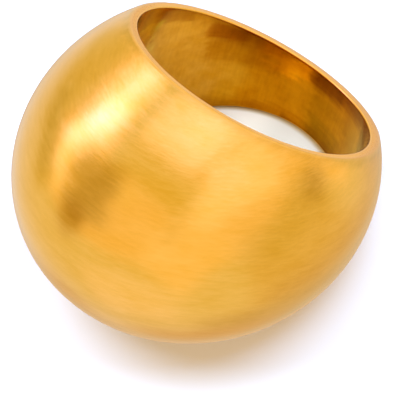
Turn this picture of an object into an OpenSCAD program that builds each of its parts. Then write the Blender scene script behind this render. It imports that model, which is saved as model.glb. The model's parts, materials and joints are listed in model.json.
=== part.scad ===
// A chunky domed ring, lying on one of its side rims as a ring does on a table.
// The outside is one smooth egg-like form. A straight finger hole runs through it, off centre,
// so the metal is thick at the dome in front and thin at the back of the band.
// Two flat side rims lean apart towards the dome and make the band a wedge.
// Frame: Z up from the surface, the dome towards -Y, and the origin in the middle of the finger
// hole's lower mouth.

/* [Finger hole] */
// Inner diameter, a European size 55
finger_d = 17.5; // [16:0.1:18]

/* [Metal] */
// Thickness at the dome's crest
dome_wall = 8.35; // [8:0.05:8.5]
// Thickness at the middle of the back
back_wall = 1.15; // [1.05:0.05:1.4]
// Thickness at the ring's widest place, on either side
side_wall = 3.3; // [3:0.05:3.6]
// Height of the whole rounded form along the finger, before the rims are cut
form_height = 22.9; // [22.6:0.1:24]

/* [Side rims] */
// Width of the band beside the middle of the finger hole
band_width = 12.9; // [12.5:0.1:13]
// Lean of each side rim from the ring's middle plane
rim_lean = 23; // [21:1:24]

/* [Hidden] */
gold = [0.93, 0.68, 0.25];
smooth = 120;
seam_turn = 32;
past = 1;
finger_r = finger_d / 2;
dome_reach = finger_r + dome_wall;
back_reach = finger_r + back_wall;
form_length = dome_reach + back_reach;
form_width = 2 * (finger_r + side_wall);
form_shift = (dome_reach - back_reach) / 2;

// Half of the band's width at a distance from the finger hole's middle, towards the dome
function half_width(reach) = band_width / 2 + reach * tan(rim_lean);

// The smooth outside, before the finger hole and the rims are cut: a stretched ball whose poles
// fall in the finger hole, with its seam on a shoulder
module outer_form() {
  translate([0, -form_shift, 0])
    scale([form_width, form_length, form_height])
      rotate([0, 0, seam_turn])
        sphere(d = 1, $fn = smooth);
}

// What lies between the two leaning rims, wide at the dome and narrow at the back
module rim_wedge() {
  front = dome_reach + past;
  back = back_reach + past;
  rotate([90, 0, 90])
    linear_extrude(height = form_width + 2 * past, center = true)
      polygon([
        [-front, half_width(front)],
        [-front, -half_width(front)],
        [back, -half_width(-back)],
        [back, half_width(-back)],
      ]);
}

module finger_hole() {
  cylinder(h = form_height + 2 * past, r = finger_r, center = true, $fn = smooth);
}

// The ring with the finger upright and its middle plane level
module upright_ring() {
  difference() {
    intersection() {
      outer_form();
      rim_wedge();
    }
    finger_hole();
  }
}

// The ring laid down on its lower rim, which tips the dome up
module ring() {
  color(gold)
    rotate([-rim_lean, 0, 0])
      translate([0, 0, band_width / 2])
        upright_ring();
}

ring();
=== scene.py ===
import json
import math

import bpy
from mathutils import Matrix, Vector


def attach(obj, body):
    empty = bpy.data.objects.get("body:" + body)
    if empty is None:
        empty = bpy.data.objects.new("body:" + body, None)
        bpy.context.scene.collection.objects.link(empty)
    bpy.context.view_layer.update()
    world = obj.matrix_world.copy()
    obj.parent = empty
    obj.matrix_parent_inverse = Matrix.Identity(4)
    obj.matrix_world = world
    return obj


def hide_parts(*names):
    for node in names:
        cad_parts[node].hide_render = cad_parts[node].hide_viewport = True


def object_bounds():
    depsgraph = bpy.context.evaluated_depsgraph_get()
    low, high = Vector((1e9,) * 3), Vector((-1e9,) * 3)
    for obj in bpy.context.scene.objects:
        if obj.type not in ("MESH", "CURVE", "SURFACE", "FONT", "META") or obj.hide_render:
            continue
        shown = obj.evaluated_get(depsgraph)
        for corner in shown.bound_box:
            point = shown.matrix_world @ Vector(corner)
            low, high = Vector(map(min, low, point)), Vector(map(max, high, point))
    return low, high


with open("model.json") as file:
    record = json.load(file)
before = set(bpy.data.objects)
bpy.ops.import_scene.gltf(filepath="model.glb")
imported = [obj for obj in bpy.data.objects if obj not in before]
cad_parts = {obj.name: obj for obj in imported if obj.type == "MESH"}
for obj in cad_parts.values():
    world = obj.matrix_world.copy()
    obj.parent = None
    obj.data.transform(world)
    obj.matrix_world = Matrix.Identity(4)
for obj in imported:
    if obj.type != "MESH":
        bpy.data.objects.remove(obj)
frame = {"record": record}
cad_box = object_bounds()

# A chunky domed ring in satin gold, lying on its side rim on a pale table.
# Lengths and angles in capitals are millimetres and degrees, unless a comment says otherwise.
# The ring is worked upright, with the finger along Z, its middle plane level and the dome
# towards -Y. It is then laid down as the frame has it.

# One millimetre in metres
MM = 0.001

# The driving sizes. The finger hole, the lean and the sides are the frame's own.
hole = next(mount for mount in frame["record"]["mounts"] if mount["name"] == "finger_hole")
FINGER_R = hole["dims"]["r_mm"]
RIM_LEAN = math.degrees(math.atan2(hole["axis"][1], hole["axis"][2]))
SIDE_WALL = cad_box[1].x / MM - FINGER_R
DOME_WALL = 8.35
BACK_WALL = 1.15
FORM_HEIGHT = 22.9
BAND_WIDTH = 12.9
INNER_EDGE = 0.1
SHOULDER = 0.4

SIZES = {
    "Finger radius": FINGER_R, "Dome wall": DOME_WALL, "Back wall": BACK_WALL,
    "Side wall": SIDE_WALL, "Form height": FORM_HEIGHT, "Band width": BAND_WIDTH,
    "Rim lean": math.radians(RIM_LEAN), "Inner edge": INNER_EDGE, "Shoulder": SHOULDER,
}

FINISHES = ("Outside", "Bore", "Rims", "Edges")

# How finely the body is divided: steps round the finger, and across each strip of the band
STEPS_ROUND = 320
STEPS_BORE = 40
STEPS_EDGE = 7
STEPS_RIM = 5
STEPS_SHOULDER = 6
STEPS_OUTSIDE = 96

# Corners of neighbouring strips that are closer than this become one
SEAM = 0.001

# A UV map runs once round the finger along U, and V covers this length across the band
UV_NAME = "band"
UV_ACROSS = 100


# Sums that are written out here and worked in a node tree

class Sum:
    """A number in a node tree. Written sums of these, and the functions below, add Math nodes."""

    def __init__(self, tree, socket):
        self.tree = tree
        self.socket = socket

    def __add__(self, other):
        return maths("ADD", self, other)

    def __radd__(self, other):
        return maths("ADD", other, self)

    def __sub__(self, other):
        return maths("SUBTRACT", self, other)

    def __rsub__(self, other):
        return maths("SUBTRACT", other, self)

    def __mul__(self, other):
        return maths("MULTIPLY", self, other)

    def __rmul__(self, other):
        return maths("MULTIPLY", other, self)

    def __truediv__(self, other):
        return maths("DIVIDE", self, other)

    def __rtruediv__(self, other):
        return maths("DIVIDE", other, self)

    def __neg__(self):
        return maths("MULTIPLY", self, -1.0)


def plug(tree, value, socket):
    """Feeds a socket with a plain value, a Sum or another socket."""
    if isinstance(value, Sum):
        value = value.socket
    if isinstance(value, bpy.types.NodeSocket):
        tree.links.new(value, socket)
    else:
        socket.default_value = value


def maths(operation, *values):
    """A Math node on these numbers, at least one of which is a Sum."""
    tree = next(value.tree for value in values if isinstance(value, Sum))
    node = tree.nodes.new("ShaderNodeMath")
    node.operation = operation
    for value, socket in zip(values, node.inputs):
        plug(tree, value, socket)
    return Sum(tree, node.outputs[0])


def sine(angle):
    return maths("SINE", angle)


def cosine(angle):
    return maths("COSINE", angle)


def root(value):
    return maths("SQRT", value)


def unsigned(value):
    return maths("ABSOLUTE", value)


def add_node(tree, kind, settings=None, **inputs):
    """A node of that kind with its settings, and its inputs fed by name, with _ for a space."""
    node = tree.nodes.new(kind)
    for name, value in (settings or {}).items():
        setattr(node, name, value)
    for name, value in inputs.items():
        socket = next(s for s in node.inputs if s.enabled and s.name == name.replace("_", " "))
        plug(tree, value, socket)
    return node


def vector(tree, x, y, z):
    return add_node(tree, "ShaderNodeCombineXYZ", X=x, Y=y, Z=z).outputs[0]


def split(tree, value):
    """The three numbers of a vector."""
    return [Sum(tree, out) for out in add_node(tree, "ShaderNodeSeparateXYZ", Vector=value).outputs]


def soft_step(value, start, end):
    """Rises softly from 0 to 1 while the value goes from start to end."""
    step = add_node(
        value.tree, "ShaderNodeMapRange", {"interpolation_type": "SMOOTHSTEP"}, Value=value,
        From_Min=start, From_Max=end, To_Min=0.0, To_Max=1.0)
    return Sum(value.tree, step.outputs[0])


def within(distance, length, soft):
    """1 in a length that is centred on 0, and softly 0 beyond its ends."""
    return soft_step(unsigned(distance), (length + soft) / 2, max((length - soft) / 2, 0.0))


def patch(x, y, middle, size, soft, turn=0):
    """How far a soft-edged oblong covers a place. It is turned anticlockwise by so many degrees."""
    turn_cosine = math.cos(math.radians(turn))
    turn_sine = math.sin(math.radians(turn))
    right = x - middle[0]
    up = y - middle[1]
    along = right * turn_cosine + up * turn_sine
    aside = up * turn_cosine - right * turn_sine
    return within(along, size[0], soft) * within(aside, size[1], soft)


def over(under, cover, colour, blend="MIX"):
    """A colour laid over another where the cover is 1."""
    mixed = add_node(
        cover.tree, "ShaderNodeMix", {"data_type": "RGBA", "blend_type": blend}, Factor=cover,
        A=under, B=(*colour, 1))
    return mixed.outputs["Result"]


def tinted(colour, cover, tint):
    """A colour times a tint where the cover is 1."""
    return over(colour, cover, tint, "MULTIPLY")


def times(colour, tint):
    """A plain colour times a tint."""
    return tuple(part * by for part, by in zip(colour, tint))


# The ring's body

def body_tree():
    """The node tree of the band. It is built as strips round the finger, each with its finish."""
    tree = bpy.data.node_groups.new("domed_band", "GeometryNodeTree")
    tree.is_modifier = True
    for name in SIZES:
        tree.interface.new_socket(name, in_out="INPUT", socket_type="NodeSocketFloat")
    tree.interface.new_socket("Steps round", in_out="INPUT", socket_type="NodeSocketInt")
    for name in FINISHES:
        tree.interface.new_socket(name, in_out="INPUT", socket_type="NodeSocketMaterial")
    tree.interface.new_socket("Body", in_out="OUTPUT", socket_type="NodeSocketGeometry")
    given = tree.nodes.new("NodeGroupInput").outputs
    finger_r, dome_wall, back_wall, side_wall, form_height, band_width, rim_lean, edge, rounding = (
        Sum(tree, given[name]) for name in SIZES)
    corners_round = Sum(tree, given["Steps round"]) + 1

    # A strip starts as a flat grid, 1 by 1: round the finger along X, and across the strip along Y
    grid_x, grid_y, _ = split(tree, tree.nodes.new("GeometryNodeInputPosition").outputs[0])
    turn = grid_x * (-2 * math.pi)
    share = grid_y + 0.5
    ahead = cosine(turn)
    aside = sine(turn)

    # The outside is a stretched ball, shifted towards the dome
    dome_reach = finger_r + dome_wall
    back_reach = finger_r + back_wall
    form_y = (dome_reach + back_reach) / 2
    form_x = finger_r + side_wall
    form_z = form_height / 2
    shift = (dome_reach - back_reach) / 2
    curve_y = ahead / form_y
    curve_x = aside / form_x
    curve = curve_x * curve_x + curve_y * curve_y
    lead = shift * curve_y / form_y
    inset = 1 - shift * shift / (form_y * form_y)

    # The rim's line at this turn. Its height is rim_start, and rim_slope times the distance from
    # the finger's middle.
    rim_start = band_width / 2
    rim_slope = maths("TANGENT", rim_lean) * ahead
    rim_length = root(rim_slope * rim_slope + 1)
    rim_out = -rim_slope / rim_length
    rim_up = 1 / rim_length

    # The corner where the rim meets the outside. Its distance from the finger's middle is the
    # larger root of a quadratic, whose parts are the three named here.
    steep = rim_slope / form_z
    start = rim_start / form_z
    squared_part = curve + steep * steep
    half_linear_part = start * steep - lead
    plain_part = start * start - inset
    under_root = half_linear_part * half_linear_part - squared_part * plain_part
    corner_r = (root(under_root) - half_linear_part) / squared_part
    corner_z = rim_start + rim_slope * corner_r

    # The way that the outside faces at that corner
    facing_r = corner_r * curve - lead
    facing_z = corner_z / (form_z * form_z)
    facing = root(facing_r * facing_r + facing_z * facing_z)
    side_out = facing_r / facing
    side_up = facing_z / facing

    # The soft rounding of that corner
    inside_by = rounding / (1 + rim_out * side_out + rim_up * side_up)
    round_r = corner_r - (rim_out + side_out) * inside_by
    round_z = corner_z - (rim_up + side_up) * inside_by
    rise_end = maths("ARCSINE", (round_z + rounding * side_up) / form_z)

    # The polished rounding of the finger hole's edge
    edge_r = finger_r + edge
    edge_z = rim_start + rim_slope * edge_r - edge * rim_length
    edge_end = maths("ARCTANGENT", rim_slope) + math.pi / 2

    # Each line below gives the distance from the finger's middle, the height, and the place
    # across the UV map in millimetres, at a share t of the strip's width

    def bore(t):
        z = edge_z * (2 * t - 1)
        return finger_r, z, z

    def inner_edge(t):
        swing = math.pi + (edge_end - math.pi) * t
        return edge_r + edge * cosine(swing), edge_z + edge * sine(swing), edge_z + edge * t

    def rim(t):
        rim_from = edge_r + edge * rim_out
        rim_to = round_r + rounding * rim_out
        r = rim_from + (rim_to - rim_from) * t
        return r, rim_start + rim_slope * r, r + form_z

    def shoulder(t):
        out = rim_out + (side_out - rim_out) * t
        up = rim_up + (side_up - rim_up) * t
        length = root(out * out + up * up)
        across = rise_end * form_x + (1 - t) * rounding
        return round_r + rounding * out / length, round_z + rounding * up / length, across

    def outside(t):
        rise = rise_end * (1 - 2 * t)
        height = sine(rise)
        r = (lead + root(lead * lead + curve * (inset - height * height))) / curve
        return r, form_z * height, rise * form_x

    def strip(line, steps, finish, lower=False):
        """One strip. A lower one is the same line upside down, and runs the other way."""
        grid = add_node(
            tree, "GeometryNodeMeshGrid", Size_X=1.0, Size_Y=1.0,
            Vertices_X=corners_round, Vertices_Y=steps + 1).outputs["Mesh"]
        side = -1 if lower else 1
        r, z, across = line(1 - share if lower else share)
        mapped = add_node(
            tree, "GeometryNodeStoreNamedAttribute",
            {"data_type": "FLOAT2", "domain": "CORNER"}, Geometry=grid, Name=UV_NAME,
            Value=vector(tree, grid_x + 0.5, across * (side / UV_ACROSS) + 0.5, 0.0)).outputs[0]
        placed = add_node(
            tree, "GeometryNodeSetPosition", Geometry=mapped,
            Position=vector(tree, r * aside, -(r * ahead), z * side)).outputs[0]
        return add_node(
            tree, "GeometryNodeStoreNamedAttribute", {"data_type": "INT", "domain": "FACE"},
            Geometry=placed, Name="finish", Value=FINISHES.index(finish)).outputs[0]

    strips = tree.nodes.new("GeometryNodeJoinGeometry")
    for made in (
        strip(bore, STEPS_BORE, "Bore"),
        strip(inner_edge, STEPS_EDGE, "Edges"),
        strip(rim, STEPS_RIM, "Rims"),
        strip(shoulder, STEPS_SHOULDER, "Outside"),
        strip(outside, STEPS_OUTSIDE, "Outside"),
        strip(shoulder, STEPS_SHOULDER, "Outside", lower=True),
        strip(rim, STEPS_RIM, "Rims", lower=True),
        strip(inner_edge, STEPS_EDGE, "Edges", lower=True),
    ):
        tree.links.new(made, strips.inputs[0])
    closed = add_node(
        tree, "GeometryNodeMergeByDistance", Geometry=strips.outputs[0], Distance=SEAM)
    smooth = add_node(tree, "GeometryNodeSetShadeSmooth", Geometry=closed.outputs[0])

    # Laid down on the lower rim, in metres
    lift = rim_start * MM
    laid = add_node(
        tree, "GeometryNodeTransform", Geometry=smooth.outputs[0],
        Translation=vector(tree, 0.0, lift * sine(rim_lean), lift * cosine(rim_lean)),
        Rotation=vector(tree, -rim_lean, 0.0, 0.0), Scale=(MM, MM, MM))
    made = add_node(tree, "GeometryNodeRealizeInstances", Geometry=laid.outputs[0]).outputs[0]
    kind = add_node(tree, "GeometryNodeInputNamedAttribute", {"data_type": "INT"}, Name="finish")
    for number, finish in enumerate(FINISHES):
        chosen = add_node(
            tree, "FunctionNodeCompare", {"data_type": "INT", "operation": "EQUAL"},
            A=kind.outputs[0], B=number)
        made = add_node(
            tree, "GeometryNodeSetMaterial", Geometry=made, Selection=chosen.outputs[0],
            Material=given[finish]).outputs[0]
    output = tree.nodes.new("NodeGroupOutput")
    tree.links.new(made, output.inputs[0])
    return tree


def make_body(finishes):
    """The ring as one plain closed mesh."""
    maker = bpy.data.objects.new("maker", bpy.data.meshes.new("maker"))
    bpy.context.scene.collection.objects.link(maker)
    modifier = maker.modifiers.new("band", "NODES")
    modifier.node_group = body_tree()
    values = {**SIZES, **finishes, "Steps round": STEPS_ROUND}
    for item in modifier.node_group.interface.items_tree:
        if item.in_out == "INPUT":
            modifier[item.identifier] = values[item.name]
    graph = bpy.context.evaluated_depsgraph_get()
    mesh = bpy.data.meshes.new_from_object(maker.evaluated_get(graph), depsgraph=graph)
    bpy.data.objects.remove(maker)
    body = bpy.data.objects.new("ring_body", mesh)
    mesh.name = "ring_body"
    bpy.context.scene.collection.objects.link(body)
    return body


# The finishes. All are the same yellow gold plating, worked in different ways.

GOLD = (0.956, 0.468, 0.062)
GOLD_DEEP = (0.84, 0.41, 0.033)

# The plating's colour times these, where it drifts furthest
DARKER = (0.96, 0.93, 0.7)
LIGHTER = (1.04, 1.07, 1.35)

# Noises on the band, each with the length of its marks round the finger and their width across
FINE_LINES = (0.5, 0.1)
COARSE_LINES = (4.0, 0.35)
COLOUR_DRIFT = (2.0, 1.3)
WAVES = (2.2, 1.2)
UPRIGHT_LINES = (0.16, 1.8)
SPOTS = (0.6, 0.7)

# Brush lines are this much fine ones, and this much coarse ones
FINE_SHARE = 0.7
COARSE_SHARE = 0.3

# Painted shade by the rims' outer corners. Each pair says where it starts and where it is full:
# on the rims by the distance from the hole's wall, and outside by the distance from a rim's plane.
CORNER_SHADE_TINT = (0.9, 0.91, 0.92)
RIM_CORNER_SHADE = (0.25, 0.6)
OUTSIDE_CORNER_SHADE = (0.6, 0.05)

# The width over which the drift of the colour shifts the painted shade outside
SHADE_WANDER = 1.0

# Painted shade at the two ends of the rims, left and right as the camera sees them. The left end
# is this far round from the back. END_REACH is the cosine of the turn from an end where the
# shade starts and where it is full.
END_SHADE_TINT = (0.9, 0.87, 0.82)
LEFT_END = 230
END_REACH = (0.7, 0.97)
OUTSIDE_END_SHADE = (2.2, 0.1)

# A painted golden sheen on the rims by the distance from the finger hole's wall, and painted
# shade in the hole by the height over the rim's line. Each pair says where it starts and where
# it is full.
RIM_PAINTED_SHEEN = (1.0, 0.98, 0.5)
RIM_SHEEN_REACH = (0.5, 0.25)
HOLE_PAINTED_SHADE = (0.78, 0.66, 0.3)
HOLE_SHADE_REACH = (-1.7, -0.2)

# Marks all over the finger hole's wall, and where in their noise they start and are full
LINE_TINT = (0.94, 0.92, 0.88)
LINE_RANGE = (0.62, 0.38)
SPOT_TINT = (0.92, 0.88, 0.8)
SPOT_RANGE = (0.6, 0.35)

# Painted reflections, light and dark, on the finger hole's wall: middle, size, softness of the
# edge, tint and turn. The places are in mm round the wall, from the middle of the back, and in
# height from the middle plane.
PAINTED_REFLECTIONS = (
    ((0.6, 0.0), (9.5, 12), 2.0, (0.92, 0.78, 0.28), 0),
    ((-5.4, -0.5), (4.4, 12), 1.6, (0.8, 0.76, 0.6), 0),
    ((-3.2, -1.5), (7.0, 5.0), 1.6, (0.82, 0.84, 0.75), 0),
    ((-6.5, 1.6), (1.8, 1.8), 0.6, (0.6, 0.56, 0.4), 0),
    ((-0.2, -3.2), (4.8, 1.3), 0.7, (0.54, 0.42, 0.2), 0),
    ((-0.9, 2.3), (3.0, 1.6), 0.9, (0.52, 0.37, 0.3), -6),
    ((-4.6, 3.0), (5.0, 1.5), 0.8, (0.76, 0.62, 0.4), -14),
    ((-1.4, -2.2), (3.8, 2.6), 1.6, (0.64, 0.66, 0.4), 0),
    ((5.8, 2.0), (5.6, 3.0), 1.2, (0.8, 0.68, 0.35), 0),
    ((7.4, 3.1), (3.0, 1.3), 0.7, (0.74, 0.56, 0.35), 14),
    ((11.4, 2.0), (8.4, 12), 2.4, (1.0, 1.02, 2.2), 0),
    ((16.8, 7.6), (8.0, 5.0), 1.4, (1.12, 1.85, 0.75), 20),
    ((13.0, 5.4), (5.6, 1.3), 0.5, (0.8, 0.72, 0.55), 15),
    ((14.6, 3.2), (1.6, 2.0), 0.8, (1.2, 1.5, 2.0), 0),
)

# The width over which the drift and the coarse lines shift a painted reflection, round the wall
# and in height
REFLECTION_WANDER = (2.4, 1.2)


def new_material(name):
    material = bpy.data.materials.new(name)
    material.use_nodes = True
    tree = material.node_tree
    tree.nodes.clear()
    shader = tree.nodes.new("ShaderNodeBsdfPrincipled")
    output = tree.nodes.new("ShaderNodeOutputMaterial")
    tree.links.new(shader.outputs[0], output.inputs["Surface"])
    return material, tree, shader


def band_uv(tree):
    """U and V on the band."""
    u, v, _ = split(tree, add_node(tree, "ShaderNodeUVMap", {"uv_map": UV_NAME}).outputs[0])
    return u, v


def band_noise(tree, marks, detail=2.0, rough=0.5):
    """A noise on the band, with marks of this length round it and this width across it."""
    u, v = band_uv(tree)
    length, width = marks
    angle = u * (2 * math.pi)
    reach = FINGER_R / length
    across = v * (UV_ACROSS / width)
    place = vector(tree, cosine(angle) * reach, sine(angle) * reach, across)
    made = add_node(
        tree, "ShaderNodeTexNoise", Vector=place, Scale=1.0, Detail=detail, Roughness=rough)
    return Sum(tree, made.outputs["Fac"])


class Grain:
    """The noises of a finish: brush lines, the drift of the colour, and soft waves."""

    def __init__(self, tree):
        fine = band_noise(tree, FINE_LINES, rough=0.6)
        self.tree = tree
        self.coarse = band_noise(tree, COARSE_LINES)
        self.drift = band_noise(tree, COLOUR_DRIFT, detail=4.0, rough=0.6)
        self.wave = band_noise(tree, WAVES)
        self.brush = fine * FINE_SHARE + self.coarse * COARSE_SHARE


def under_rims(tree):
    """How many millimetres a place lies inside the nearer of the two rims' planes."""
    _, y, z = split(tree, add_node(tree, "ShaderNodeTexCoord").outputs["Object"])
    between = math.radians(2 * RIM_LEAN)
    apart = BAND_WIDTH * math.cos(math.radians(RIM_LEAN))
    upper = apart - (y * (math.sin(between) / MM) + z * (math.cos(between) / MM))
    return maths("MINIMUM", upper, z / MM)


def shade_corners_and_ends(colour, corner, left, right):
    """A colour with painted shade, so much at the rim's outer corner and at the rim's two ends."""
    u, _ = band_uv(corner.tree)
    swing = cosine(u * (2 * math.pi) - math.radians(LEFT_END))
    start, full = END_REACH
    ends = soft_step(swing, start, full) * left + soft_step(swing, -start, -full) * right
    return tinted(tinted(colour, ends, END_SHADE_TINT), corner, CORNER_SHADE_TINT)


def shade_and_sheen_rims(colour, grain):
    """Painted shade along a rim's outer corner, and a painted golden sheen by the finger hole."""
    _, v = band_uv(grain.tree)
    # On a rim, V counts the distance from the finger's middle on top of half the form's height
    from_hole = unsigned(v - 0.5) * UV_ACROSS - (FORM_HEIGHT / 2 + FINGER_R)
    # Painted shade by the rim's outer corner and both its ends
    colour = shade_corners_and_ends(colour, soft_step(from_hole, *RIM_CORNER_SHADE), 1, 1)
    # A painted golden sheen on the rim by the finger hole
    return tinted(colour, soft_step(from_hole, *RIM_SHEEN_REACH), RIM_PAINTED_SHEEN)


def shade_outside(colour, grain):
    """Painted shade along the rims' outer corners, which is wider at their right ends."""
    below = under_rims(grain.tree) + (grain.drift - 0.5) * SHADE_WANDER
    # Painted shade by the rims' outer corners, wider at their right ends
    corner = soft_step(below, *OUTSIDE_CORNER_SHADE)
    return shade_corners_and_ends(colour, corner, 0, soft_step(below, *OUTSIDE_END_SHADE))


def hole_marks_and_reflections(colour, grain):
    """Lines, spots and painted reflections on the finger hole's wall, and painted shade by the
    rims.
    """
    tree = grain.tree
    u, v = band_uv(tree)
    from_back = maths("WRAP", -u, 0.5, -0.5) * (2 * math.pi)
    height = (v - 0.5) * UV_ACROSS
    place_x = from_back * FINGER_R + (grain.drift - 0.5) * REFLECTION_WANDER[0]
    place_y = height + (grain.coarse - 0.5) * REFLECTION_WANDER[1]
    lines = band_noise(tree, UPRIGHT_LINES)
    colour = tinted(colour, soft_step(lines, *LINE_RANGE), LINE_TINT)
    spots = band_noise(tree, SPOTS, detail=3.0)
    colour = tinted(colour, soft_step(spots, *SPOT_RANGE), SPOT_TINT)
    # Painted reflections, light and dark, on the wall
    for middle, size, soft, tint, turn in PAINTED_REFLECTIONS:
        colour = tinted(colour, patch(place_x, place_y, middle, size, soft, turn), tint)
    rim_rise = FINGER_R * math.tan(math.radians(RIM_LEAN))
    rim_height = BAND_WIDTH / 2 - cosine(from_back) * rim_rise
    # Painted shade in the hole along the rims
    by_rims = soft_step(unsigned(place_y) - rim_height, *HOLE_SHADE_REACH)
    return tinted(colour, by_rims, HOLE_PAINTED_SHADE)


def gold(name, colour, roughness, rough_by, brush_depth, wave_depth, blotch, streak,
         sheen_across=0.0, marks=None):
    """Plated gold that was brushed round the finger and wiped by hand.

    rough_by is how far the roughness varies. brush_depth and wave_depth are heights in
    millimetres. blotch and streak are how far the colour drifts in patches and along the brush
    lines. marks is a function that adds painted shade, a painted sheen, painted reflections and
    small marks to the colour, as each finish needs.
    """
    material, tree, shader = new_material(name)
    grain = Grain(tree)
    brush = grain.brush - 0.5
    drift = grain.drift - 0.5
    tone = add_node(
        tree, "ShaderNodeMix", {"data_type": "RGBA"},
        Factor=drift * blotch + brush * streak + 0.5,
        A=(*times(colour, DARKER), 1), B=(*times(colour, LIGHTER), 1))
    colour = tone.outputs["Result"]
    if marks:
        colour = marks(colour, grain)
    plug(tree, colour, shader.inputs["Base Color"])
    shader.inputs["Metallic"].default_value = 1.0
    plug(tree, roughness + brush * rough_by + drift * (rough_by * 0.5), shader.inputs["Roughness"])
    if sheen_across:
        shader.inputs["Anisotropic"].default_value = sheen_across
        tangent = add_node(
            tree, "ShaderNodeTangent", {"direction_type": "UV_MAP", "uv_map": UV_NAME})
        plug(tree, tangent.outputs[0], shader.inputs["Tangent"])
    height = grain.brush * (brush_depth * MM) + grain.wave * (wave_depth * MM)
    bump = add_node(tree, "ShaderNodeBump", Strength=1.0, Distance=1.0, Height=height)
    plug(tree, bump.outputs["Normal"], shader.inputs["Normal"])
    return material


def brushed_outside():
    """The outside, brushed and slightly wavy, with painted shade by the rims' outer corners."""
    return gold(
        "brushed_outside", GOLD, roughness=0.22, rough_by=0.14, brush_depth=0.006,
        wave_depth=0.008, blotch=1.8, streak=1.9, sheen_across=0.2, marks=shade_outside)


def finger_hole_wall():
    """The finger hole's wall, smoother but mottled, with painted reflections and shade."""
    return gold(
        "finger_hole_wall", GOLD_DEEP, roughness=0.16, rough_by=0.08, brush_depth=0.003,
        wave_depth=0.02, blotch=4.0, streak=1.5, marks=hole_marks_and_reflections)


def rim_flats():
    """The two side rims, the mattest part, with painted shade and a painted golden sheen."""
    return gold(
        "rim_flats", GOLD, roughness=0.28, rough_by=0.1, brush_depth=0.003, wave_depth=0.01,
        blotch=1.0, streak=1.0, marks=shade_and_sheen_rims)


def polished_edges():
    """The rounded edges of the finger hole, without brush lines in their relief."""
    return gold(
        "polished_edges", GOLD, roughness=0.26, rough_by=0.04, brush_depth=0.0,
        wave_depth=0.002, blotch=0.6, streak=0.0)


# The studio's light

# It comes from all round, and is painted into the world by direction. Each panel is a soft-edged
# oblong on the sky laid out flat: the zenith in the middle, X to the right, Y upwards, and the
# distance from the middle in degrees, so the horizon is the circle at 90. A panel has its middle,
# size, softness of the edge, light and turn, and covers the ones before it. The dome faces -Y,
# which is in front.

# The room's own light, the ground's, and where by the horizon the one turns into the other
SKY = (1.03, 0.98, 0.88, 1)
GROUND = (0.88, 0.97, 1.05)
HORIZON = (88, 100)

# The ground in front, and on the right
GROUND_PANELS = (
    ((32, -124), (120, 44), 20, (1.0, 1.08, 1.5), 14),
    ((118, 42), (70, 120), 20, (0.82, 0.82, 0.64), 0),
)

# Shades on the ground near the ring. Each has the distances from the zenith where it starts and
# is full, and its light. A shade on one side also has the direction of that side in X and Y, and
# how far that way it starts and is full.
GROUND_SHADES = (
    # Behind
    ((118, 148), (0.72, 0.68, 0.5), (0.15, 0.98), (0.03, 0.2)),
    # Closer to the ring: all round, on the right behind, and on the left
    ((143, 156), (0.86, 0.93, 0.95), None, None),
    ((143, 156), (0.7, 0.7, 0.56), (0.64, 0.77), (-0.05, 0.1)),
    ((143, 156), (0.73, 0.66, 0.48), (-0.95, 0.3), (0.1, 0.3)),
    # The deep shade where the ring meets the table
    ((160, 174), (0.74, 0.66, 0.46), None, None),
)

# The ground behind on the left, below the horizon
BACK_PANELS = (
    ((-48, 102), (50, 50), 30, (0.95, 0.93, 0.95), 0),
)

# Where a ray goes that only grazes the ring's edge: straight on, the way that the camera looks.
# FAR_SIDE_REACH is the cosine of the angle from there where the light starts and is full.
FAR_SIDE = (-0.394, 0.354, -0.848)
FAR_SIDE_REACH = (0.955, 0.985)
FAR_SIDE_LIGHT = (0.8, 0.66, 0.46)

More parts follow.
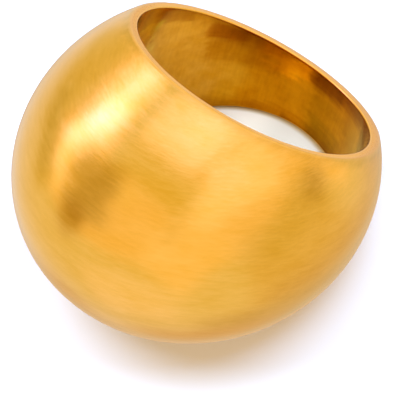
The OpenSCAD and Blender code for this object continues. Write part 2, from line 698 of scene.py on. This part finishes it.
ROOM_PANELS = (
    # The pale wall behind
    ((-20, 62), (76, 44), 20, (1.15, 1.22, 1.7), 0),
    # The soft box overhead, and its brighter middle
    ((2, 20), (46, 64), 8, (1.25, 1.34, 2.5), 0),
    ((10, 13), (22, 20), 16, (1.5, 1.6, 3.8), 0),
    # Two gleams below the key light, on the left in front
    ((-62, -50), (13, 28), 12, (1.3, 1.36, 2.0), -10),
    ((-66, -38.5), (15, 17), 10, (1.5, 1.64, 3.4), -10),
    # The key light on the left, and its lamp
    ((-45, -2), (32, 74), 10, (1.35, 1.42, 2.3), -11),
    ((-43.8, 5), (11, 42), 7, (2.1, 2.2, 7.2), -6),
    ((-44.8, -9), (20.5, 22), 8, (2.4, 2.5, 8.4), -8),
    ((-54, -20.5), (32, 16), 8, (2.1, 2.25, 6.7), 35),
    ((-49.5, -11.5), (10, 11), 8, (2.5, 2.6, 14.0), 0),
    # The pale wall on the right in front
    ((62, -52), (52, 70), 16, (1.08, 1.06, 1.08), 0),
    # The soft box on the right, and its brighter middle
    ((45, 5), (35, 62), 12, (1.15, 1.25, 1.75), -6),
    ((40, 6), (15, 20), 12, (1.3, 1.35, 2.7), 0),
    # Two pale slivers, one in front and one low on the right behind
    ((0, -47), (10, 16), 8, (1.06, 1.05, 0.92), -20),
    ((62, 78), (14, 22), 10, (1.16, 1.13, 1.15), 0),
    # Dark gaps beside the soft box overhead and in front of it
    ((-23.5, -3), (6, 62), 7, (0.64, 0.82, 0.85), 4),
    ((38, -30), (8, 60), 8, (0.92, 0.9, 0.76), 20),
    ((8, -23), (60, 22), 12, (0.86, 0.9, 0.7), 0),
    ((22, -28), (36, 16), 10, (0.84, 0.84, 0.45), 0),
    # The dark corner on the left in front
    ((-29, -69), (48, 15), 9, (0.62, 0.58, 0.3), -6),
    ((-17, -42), (20, 20), 8, (0.69, 0.65, 0.32), 0),
    ((-39, -45), (19, 23), 9, (0.66, 0.62, 0.31), -30),
    ((-27, -61.5), (24, 46), 6, (0.57, 0.52, 0.24), -34),
    ((-42, -83), (25, 20), 8, (0.6, 0.54, 0.25), 20),
    ((-35.5, -75.5), (21, 13), 8, (0.46, 0.36, 0.1), -24),
    # The dark strip on the left, by the horizon
    ((-83.5, 18), (37, 62), 12, (0.78, 0.8, 0.48), 0),
    ((-87, -22), (22, 76), 10, (0.76, 0.78, 0.46), 9),
    ((-88, -22), (13, 56), 8, (0.64, 0.66, 0.36), 10),
    # The dark strip on the right behind, by the horizon
    ((87, 31), (72, 26), 12, (0.76, 0.76, 0.46), -58),
    ((69, 56), (22, 14), 9, (0.54, 0.5, 0.28), -28),
)

# Keeps the direction straight up from a division by nothing
TINY = 1e-8


def painted_light(tree):
    """The light that comes from each direction: a pale room with soft boxes and a pale ground."""
    x, y, z = split(tree, add_node(tree, "ShaderNodeTexCoord").outputs["Generated"])
    from_zenith = maths("ARCCOSINE", z) * (180 / math.pi)
    spread = from_zenith / root(x * x + y * y + TINY)
    flat_x = x * spread
    flat_y = y * spread

    def lay(under, panels):
        """The light so far with these panels over it."""
        for middle, size, soft, light, turn in panels:
            under = over(under, patch(flat_x, flat_y, middle, size, soft, turn), light)
        return under

    light = over(SKY, soft_step(from_zenith, *HORIZON), GROUND)
    light = lay(light, GROUND_PANELS)
    for depth, shade, side, side_reach in GROUND_SHADES:
        cover = soft_step(from_zenith, *depth)
        if side:
            cover = cover * soft_step(x * side[0] + y * side[1], *side_reach)
        light = over(light, cover, shade)
    light = lay(light, BACK_PANELS)
    facing = x * FAR_SIDE[0] + y * FAR_SIDE[1] + z * FAR_SIDE[2]
    light = over(light, soft_step(facing, *FAR_SIDE_REACH), FAR_SIDE_LIGHT)
    return lay(light, ROOM_PANELS)


def studio_world():
    """The painted light for every ray but the camera's own, which sees plain white."""
    world = bpy.data.worlds.new("studio")
    bpy.context.scene.world = world
    world.use_nodes = True
    tree = world.node_tree
    tree.nodes.clear()
    light = painted_light(tree)
    plain = add_node(tree, "ShaderNodeBackground", Color=(1, 1, 1, 1), Strength=1.0)
    lit = add_node(tree, "ShaderNodeBackground", Color=light, Strength=1.0)
    seen = add_node(tree, "ShaderNodeLightPath").outputs["Is Camera Ray"]
    choice = tree.nodes.new("ShaderNodeMixShader")
    tree.links.new(seen, choice.inputs[0])
    tree.links.new(lit.outputs[0], choice.inputs[1])
    tree.links.new(plain.outputs[0], choice.inputs[2])
    output = tree.nodes.new("ShaderNodeOutputWorld")
    tree.links.new(choice.outputs[0], output.inputs["Surface"])


# The table, and how far outside the finger hole's wall its two parts meet. Its radius is in metres.

TABLE_R = 1.0
TABLE_SIDES = 96
UNDER_RIM = 0.35
TABLE_ROUGHNESS = 0.7

# Its colours outside the ring, in the finger hole, where it is warmer as painted light bounced off
# the gold walls, and as a painted contact shadow at the foot of the hole's wall, with the
# distances from the wall where that shadow starts and is full
TABLE = (0.27, 0.2, 0.15)
TABLE_IN_HOLE = (0.34, 0.193, 0.093)
TABLE_CONTACT_SHADOW = (0.2, 0.08, 0.015)
CONTACT_SHADOW_REACH = (0.36, 0.0)

# One side of it in the finger hole has painted light: middle, size and softness of the edge, and
# tint
LIGHT_SIDE = ((-5.0, 7.0), (5.0, 8.0), 3.0)
LIGHT_SIDE_TINT = (1.4, 1.4, 1.4)

# The table as the metal mirrors it, a painted reflection deeper than the colour seen, and painted
# pools of light on that, each with its colour last
MIRRORED_TABLE = (0.32, 0.168, 0.03, 1)
MIRRORED_LIGHT_POOLS = (
    ((-1.0, -6.0), (8.4, 3.8), 2.0, (0.74, 0.4, 0.045)),
    ((-3.1, -3.6), (3.8, 2.4), 1.4, (1.0, 0.5, 0.05)),
)


def pale_table(name, seen, contact_shadow):
    """A matt table top, with a painted reflection in deeper colours and painted pools of light.

    The colour that is seen has painted light on one side in the finger hole, and turns to a
    painted contact shadow close to the hole's wall.
    """
    material, tree, shader = new_material(name)
    direct = add_node(tree, "ShaderNodeLightPath").outputs["Is Camera Ray"]
    x, y, _ = split(tree, add_node(tree, "ShaderNodeTexCoord").outputs["Object"])
    upright_y = y * math.cos(math.radians(RIM_LEAN))
    from_wall = FINGER_R - root(x * x + upright_y * upright_y) / MM
    place_x = x / MM
    place_y = y / MM
    # What the metal mirrors: a painted reflection, with painted pools of light
    mirrored = MIRRORED_TABLE
    for middle, size, soft, colour in MIRRORED_LIGHT_POOLS:
        mirrored = over(mirrored, patch(place_x, place_y, middle, size, soft), colour)
    # Painted light on one side in the finger hole
    lighter = times(seen, LIGHT_SIDE_TINT)
    seen = over((*seen, 1), patch(place_x, place_y, *LIGHT_SIDE), lighter)
    # A painted contact shadow at the foot of the hole's wall
    seen = over(seen, soft_step(from_wall, *CONTACT_SHADOW_REACH), contact_shadow)
    paint = add_node(
        tree, "ShaderNodeMix", {"data_type": "RGBA"}, Factor=direct, A=mirrored, B=seen)
    plug(tree, paint.outputs["Result"], shader.inputs["Base Color"])
    shader.inputs["Roughness"].default_value = TABLE_ROUGHNESS
    return material


def make_table():
    """A pale table in two parts, which meet under the ring's lower rim.

    The metal mirrors the part in the finger hole. Outside it mirrors the ground that is painted
    in the world instead.
    """
    turns = [2 * math.pi * side / TABLE_SIDES for side in range(TABLE_SIDES)]
    mouth_x = (FINGER_R + UNDER_RIM) * MM
    mouth_y = mouth_x / math.cos(math.radians(RIM_LEAN))
    inner = [(mouth_x * math.cos(turn), mouth_y * math.sin(turn), 0) for turn in turns]
    outer = [(TABLE_R * math.cos(turn), TABLE_R * math.sin(turn), 0) for turn in turns]
    nexts = [(side + 1) % TABLE_SIDES for side in range(TABLE_SIDES)]
    disc = [tuple(range(TABLE_SIDES))]
    around = [
        (side, TABLE_SIDES + side, TABLE_SIDES + after, after) for side, after in enumerate(nexts)]
    for name, corners, faces, mirrored, seen, contact_shadow in (
        ("table_in_hole", inner, disc, True, TABLE_IN_HOLE, TABLE_CONTACT_SHADOW),
        ("table", inner + outer, around, False, TABLE, TABLE),
    ):
        mesh = bpy.data.meshes.new(name)
        mesh.from_pydata(corners, [], faces)
        mesh.materials.append(pale_table(name, seen, contact_shadow))
        table = bpy.data.objects.new(name, mesh)
        bpy.context.scene.collection.objects.link(table)
        table.visible_glossy = mirrored


# The lamps and the camera

# Each lamp's name, azimuth, elevation, strength and colour, and how wide they all look
LAMPS = (
    ("left_lamp", -66, 53, 19.0, (0.31, 0.56, 1)),
    ("back_lamp", 164, 70, 17.0, (0.26, 0.52, 1)),
    ("right_lamp", 52, 32, 9.8, (0.94, 1, 0.8)),
)
LAMP_ANGLE = 42

# The camera's distance is in metres
CAMERA_AZIMUTH = 48.08
CAMERA_ELEVATION = 58.0
CAMERA_ROLL = -4.4
CAMERA_DISTANCE = 0.45
CAMERA_AIM = (0.45, -1.16, 4.19)
CAMERA_LENS = 589.3
CAMERA_SENSOR = 36


def towards(azimuth, elevation):
    """A direction from its angles: azimuth 0 is the dome's side, and 90 is +X."""
    around = math.radians(azimuth)
    above = math.radians(elevation)
    level = math.cos(above)
    return Vector((math.sin(around) * level, -math.cos(around) * level, math.sin(above)))


def make_lamps():
    """Three wide soft lamps for the table's shade, which the metal doesn't mirror."""
    for name, azimuth, elevation, energy, colour in LAMPS:
        lamp = bpy.data.objects.new(name, bpy.data.lights.new(name, "SUN"))
        lamp.data.energy = energy
        lamp.data.color = colour
        lamp.data.angle = math.radians(LAMP_ANGLE)
        lamp.rotation_euler = towards(azimuth, elevation).to_track_quat("Z", "Y").to_euler()
        lamp.visible_glossy = False
        bpy.context.scene.collection.objects.link(lamp)


def make_camera():
    """A far camera with a long lens, at the photo's angle to the ring."""
    back = towards(CAMERA_AZIMUTH, CAMERA_ELEVATION)
    roll = Matrix.Rotation(math.radians(CAMERA_ROLL), 3, "Z")
    turned = (-back).to_track_quat("-Z", "Y").to_matrix() @ roll
    camera = bpy.data.objects.new("camera", bpy.data.cameras.new("camera"))
    camera.data.lens = CAMERA_LENS
    camera.data.sensor_width = CAMERA_SENSOR
    camera.location = Vector(CAMERA_AIM) * MM + back * CAMERA_DISTANCE
    camera.rotation_euler = turned.to_euler()
    bpy.context.scene.collection.objects.link(camera)
    bpy.context.scene.camera = camera


ring_body = make_body({
    "Outside": brushed_outside(), "Bore": finger_hole_wall(), "Rims": rim_flats(),
    "Edges": polished_edges(),
})
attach(ring_body, "root")
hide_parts("ring")

make_table()
make_lamps()
studio_world()
make_camera()
bpy.context.scene.view_settings.view_transform = "Standard"
